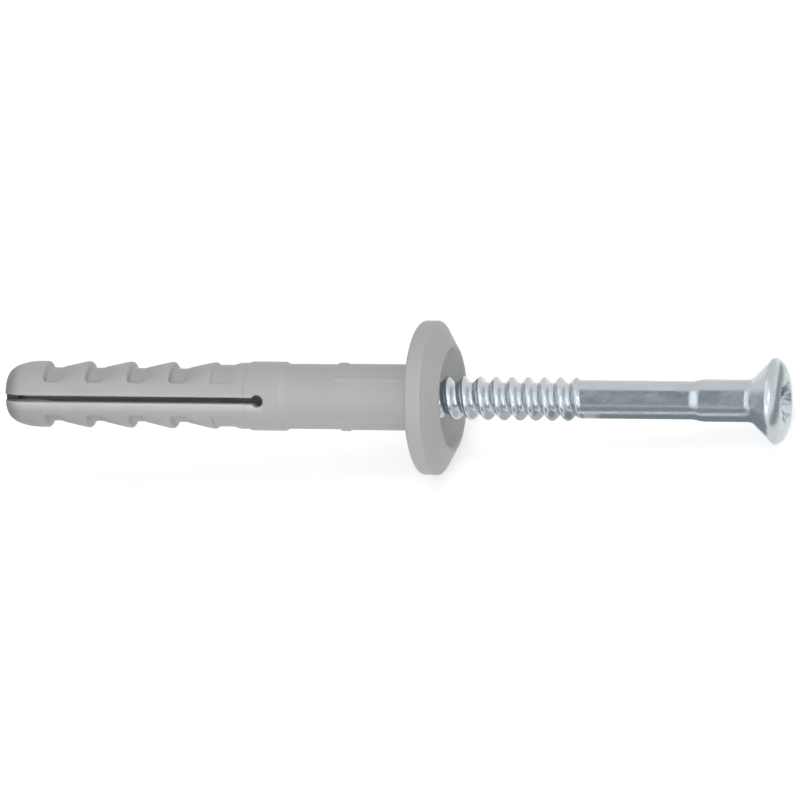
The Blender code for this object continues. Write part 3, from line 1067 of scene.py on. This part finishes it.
class ANCHOR_OT_stage(bpy.types.Operator):
    """Set up the floor, the soft studio light and the camera"""

    bl_idname = "anchor.stage"
    bl_label = "Build stage"

    def execute(self, context):
        settings = context.scene.anchor_stage
        context.scene.view_settings.view_transform = "Standard"
        self.world(context, settings)
        self.floor()
        view = self.camera(context, settings)
        self.lamps(settings, view)
        self.mirror_strips(view)
        self.floor_cards()
        return {"FINISHED"}

    def world(self, context, settings):
        """White surroundings that give the anchor less light along its axis than from its sides."""
        from_nose = 0.1
        from_side = 1.05
        from_head = 0.75
        world = bpy.data.worlds.new("white_surroundings")
        context.scene.world = world
        world.use_nodes = True
        world.node_tree.nodes.clear()
        add = node_adder(world.node_tree)
        direction = add("ShaderNodeTexCoord")
        to_head = add(
            "ShaderNodeVectorMath",
            {1: tuple(ALONG)},
            {0: direction.outputs["Generated"]},
            operation="DOT_PRODUCT",
        )
        given = add("ShaderNodeFloatCurve", links={"Value": to_head.outputs["Value"]})
        curve = given.mapping.curves[0]
        given.mapping.clip_min_x = -1
        given.mapping.clip_min_y = 0
        for point, (cosine, share) in zip(curve.points, ((-1, from_nose), (1, from_head))):
            point.location = (cosine, share * settings.fill_strength)
        curve.points.new(0, from_side * settings.fill_strength)
        given.mapping.update()
        strength = add(
            "ShaderNodeMix",
            {"B": 1.0},
            {"Factor": seen_directly(add), "A": given.outputs["Value"]},
        )
        background = add("ShaderNodeBackground", links={"Strength": strength.outputs[0]})
        background.inputs["Color"].default_value = (1, 1, 1, 1)
        add("ShaderNodeOutputWorld", links={"Surface": background.outputs["Background"]})

    def floor(self):
        """Pale floor that keeps the anchor's soft shadow and throws little light at its nose."""
        half_width = 1.5
        own_light = 0.5
        pale = (0.86, 0.86, 0.86, 1)
        dim = (0.04, 0.04, 0.04, 1)
        solid = bmesh.new()
        bmesh.ops.create_grid(solid, x_segments=1, y_segments=1, size=half_width)
        mesh = bpy.data.meshes.new("floor")
        solid.to_mesh(mesh)
        solid.free()
        floor = make_piece("floor", mesh)
        made, add = new_material("white_studio_card")
        lift = add(
            "ShaderNodeMapRange",
            {"To Min": 0.0, "To Max": own_light},
            {"Value": seen_directly(add)},
        )
        place = add("ShaderNodeTexCoord")
        split_place = add("ShaderNodeSeparateXYZ", links={"Vector": place.outputs["Object"]})
        past_nose = add(
            "ShaderNodeMapRange",
            {"From Min": NOSE_POINT.x + 6 * MM, "From Max": NOSE_POINT.x - 2 * MM},
            {"Value": split_place.outputs["X"]},
        )
        path = add("ShaderNodeLightPath")
        bounced = add(
            "ShaderNodeMath",
            links={0: past_nose.outputs["Result"], 1: path.outputs["Is Diffuse Ray"]},
            operation="MULTIPLY",
        )
        card = add(
            "ShaderNodeMix",
            links={"Factor": bounced.outputs["Value"]},
            data_type="RGBA",
        )
        card.inputs[6].default_value = pale
        card.inputs[7].default_value = dim
        shader = add(
            "ShaderNodeBsdfPrincipled",
            {"Roughness": 0.9, "Emission Color": (1, 1, 1, 1)},
            {"Base Color": card.outputs[2], "Emission Strength": lift.outputs["Result"]},
        )
        add("ShaderNodeOutputMaterial", links={"Surface": shader.outputs["BSDF"]})
        floor.data.materials.append(made)

    def camera(self, context, settings):
        """Looks at the anchor from its front, above and a little from the head's end."""
        elevation = math.radians(35)
        toward_head = math.sin(math.radians(15.5))
        roll = math.radians(0.58)
        aim_along = 36.64 * MM
        aim_below = 0.24 * MM
        high = math.sin(elevation)
        x = (toward_head - high * ALONG.z) / ALONG.x
        y = -math.sqrt(1 - high**2 - x**2)
        view = Vector((x, y, high))
        across = (ALONG - view * ALONG.dot(view)).normalized()
        right = across * math.cos(roll) + view.cross(across) * math.sin(roll)
        up = view.cross(right)
        aim = NOSE_POINT + ALONG * aim_along - up * aim_below
        data = bpy.data.cameras.new("camera")
        data.lens = settings.lens
        data.sensor_width = 36
        data.clip_start = 0.1
        data.clip_end = 10
        camera = bpy.data.objects.new("camera", data)
        context.scene.collection.objects.link(camera)
        place = Matrix((right, up, view)).transposed().to_4x4()
        place.translation = aim + view * settings.distance
        camera.matrix_world = place
        context.scene.camera = camera
        return view

    def lamps(self, settings, view):
        """Broad lamps square to the anchor's axis. Each has its degrees below the camera, its
        width in metres and its power in watts."""
        for name, below, size, power in (
            ("high_light", -50, 0.5, 1.2),
            ("front_light", 0, 0.6, 1.4),
            ("low_light", 19, 0.6, 1.9),
        ):
            across = Matrix.Rotation(math.radians(below), 3, ALONG) @ view_across(view)
            self.lamp(name, across, size, power * settings.key_strength)

    def lamp(self, name, direction, size, power):
        """One round lamp a metre away, which lights dull surfaces and shows in no shiny one."""
        data = bpy.data.lights.new(name, "AREA")
        data.shape = "DISK"
        data.size = size
        data.energy = power
        made = bpy.data.objects.new(name, data)
        bpy.context.scene.collection.objects.link(made)
        made.location = direction.normalized()
        made.rotation_mode = "QUATERNION"
        made.rotation_quaternion = direction.to_track_quat("Z", "Y")
        made.visible_glossy = False

    def mirror_strips(self, view):
        """Strips bent round the anchor's axis, which only shiny surfaces see. Each has its first
        and last lean towards the head and its highest and lowest turn below the camera, in
        degrees. They put the dark band and its light frame on the shank, and glints on the head."""
        distance = 1.2
        glint_distance = 0.9 * distance
        steps = 24
        high = -57
        low = 34
        cool = "#ECF3F8"
        white = "#FFFFFF"
        dark = "#747E84"
        for name, first, last, highest, lowest, hex_colour, strength, away in (
            ("nose_end_strip", -88, -50, high, low, cool, 1.35, distance),
            ("bright_strip_to_nose", -50, -27, high, low, cool, 1.9, distance),
            ("dark_strip", -24, -7, high, low, dark, 1.0, distance),
            ("bright_strip_to_head", -4, 30, high, low, cool, 1.9, distance),
            ("head_end_strip", 30, 74, high, low, cool, 1.35, distance),
            ("upper_glint", 55, 68, -32, -3, white, 5.0, glint_distance),
            ("lower_glint", 28, 46, 17, 30, white, 5.0, glint_distance),
        ):
            strip = bmesh.new()
            rows = []
            for step in range(steps + 1):
                turn = math.radians(highest + (lowest - highest) * step / steps)
                across = Matrix.Rotation(turn, 3, ALONG) @ view_across(view)
                row = []
                for degrees in (first, last):
                    lean = math.radians(degrees)
                    place = across * math.cos(lean) + ALONG * math.sin(lean)
                    row.append(strip.verts.new(place * away))
                rows.append(row)
            for row, following in zip(rows, rows[1:]):
                strip.faces.new((row[0], row[1], following[1], following[0]))
            self.mirror_card(name, strip, hex_colour, strength)

    def floor_cards(self):
        """Dull cards just above the floor, which only shiny surfaces see, as painted reflections:
        one that runs forward from the shank as the dark strip's foot, and three under and before
        the nail, which put painted shade from the floor into the nail's reflection."""
        height = 0.3 * MM
        near = -8 * MM
        far = -1.15
        lean = math.tan(math.radians(-15.5))
        spread = math.tan(math.radians(8))
        thread_end = (NOSE_POINT + ALONG * (NAIL_TIP + SHANK_START)).x
        head = (NOSE_POINT + ALONG * (NAIL_TIP + HEAD_EDGE_START)).x
        mouth = (NOSE_POINT + ALONG * MOUTH).x
        left = thread_end - 1.5 * MM
        right = head + 4 * MM
        front = [
            (left - near * lean, near),
            (right - near * lean, near),
            (right - far * (lean + spread), far),
            (left - far * (lean - spread), far),
        ]
        front_y = -5 * MM
        back_y = 12 * MM
        for name, outline, hex_colour in (
            ("front_floor_card", front, "#98A2A8"),
            (
                "under_thread_card",
                self.rectangle(mouth + 3 * MM, thread_end, front_y, back_y),
                "#D4DADD",
            ),
            (
                "under_shank_card",
                self.rectangle(thread_end, head - 3 * MM, front_y, back_y),
                "#98A2A8",
            ),
            (
                "before_head_card",
                self.rectangle(head + 4.5 * MM, head + 13 * MM, -9 * MM, 22 * MM),
                "#A4ACB0",
            ),
        ):
            card = bmesh.new()
            card.faces.new([card.verts.new((*corner, height)) for corner in outline])
            self.mirror_card(name, card, hex_colour, 1.0)

    def rectangle(self, left, right, front, back):
        """Corners of a rectangle on the floor, counted round it."""
        return [(left, front), (right, front), (right, back), (left, back)]

    def mirror_card(self, name, shape, hex_colour, strength):
        """Makes one card of its own even brightness, seen only in shiny surfaces."""
        mesh = bpy.data.meshes.new(name)
        shape.to_mesh(mesh)
        shape.free()
        card = make_piece(name, mesh)
        made, add = new_material(name + "_card")
        shader = add(
            "ShaderNodeBsdfPrincipled",
            {
                "Base Color": (0, 0, 0, 1),
                "Specular IOR Level": 0.0,
                "Emission Color": (*srgb(hex_colour), 1),
                "Emission Strength": strength,
            },
        )
        add("ShaderNodeOutputMaterial", links={"Surface": shader.outputs["BSDF"]})
        card.data.materials.append(made)
        card.visible_camera = False
        card.visible_diffuse = False
        card.visible_shadow = False
        card.visible_transmission = False


class ANCHOR_PT_sidebar(bpy.types.Panel):
    """Lists the anchor's pieces and their settings"""

    bl_idname = "ANCHOR_PT_sidebar"
    bl_label = "Nail Anchor"
    bl_space_type = "VIEW_3D"
    bl_region_type = "UI"
    bl_category = "Nail Anchor"

    def draw(self, context):
        for title, settings, operator in (
            ("Sleeve", context.scene.anchor_sleeve, ANCHOR_OT_sleeve),
            ("Nail", context.scene.anchor_nail, ANCHOR_OT_nail),
            ("Stage", context.scene.anchor_stage, ANCHOR_OT_stage),
        ):
            column = self.layout.column(align=True)
            column.label(text=title)
            for name in settings.__annotations__:
                column.prop(settings, name)
            column.operator(operator.bl_idname)


CLASSES = (
    SleeveSettings,
    NailSettings,
    StageSettings,
    ANCHOR_OT_sleeve,
    ANCHOR_OT_nail,
    ANCHOR_OT_stage,
    ANCHOR_PT_sidebar,
)


def register():
    for each in CLASSES:
        bpy.utils.register_class(each)
    bpy.types.Scene.anchor_sleeve = bpy.props.PointerProperty(type=SleeveSettings)
    bpy.types.Scene.anchor_nail = bpy.props.PointerProperty(type=NailSettings)
    bpy.types.Scene.anchor_stage = bpy.props.PointerProperty(type=StageSettings)


def unregister():
    del bpy.types.Scene.anchor_stage
    del bpy.types.Scene.anchor_nail
    del bpy.types.Scene.anchor_sleeve
    for each in reversed(CLASSES):
        bpy.utils.unregister_class(each)


def main():
    register()
    bpy.ops.anchor.stage()
    bpy.ops.anchor.sleeve()
    bpy.ops.anchor.nail()


if __name__ == "__main__":
    main()
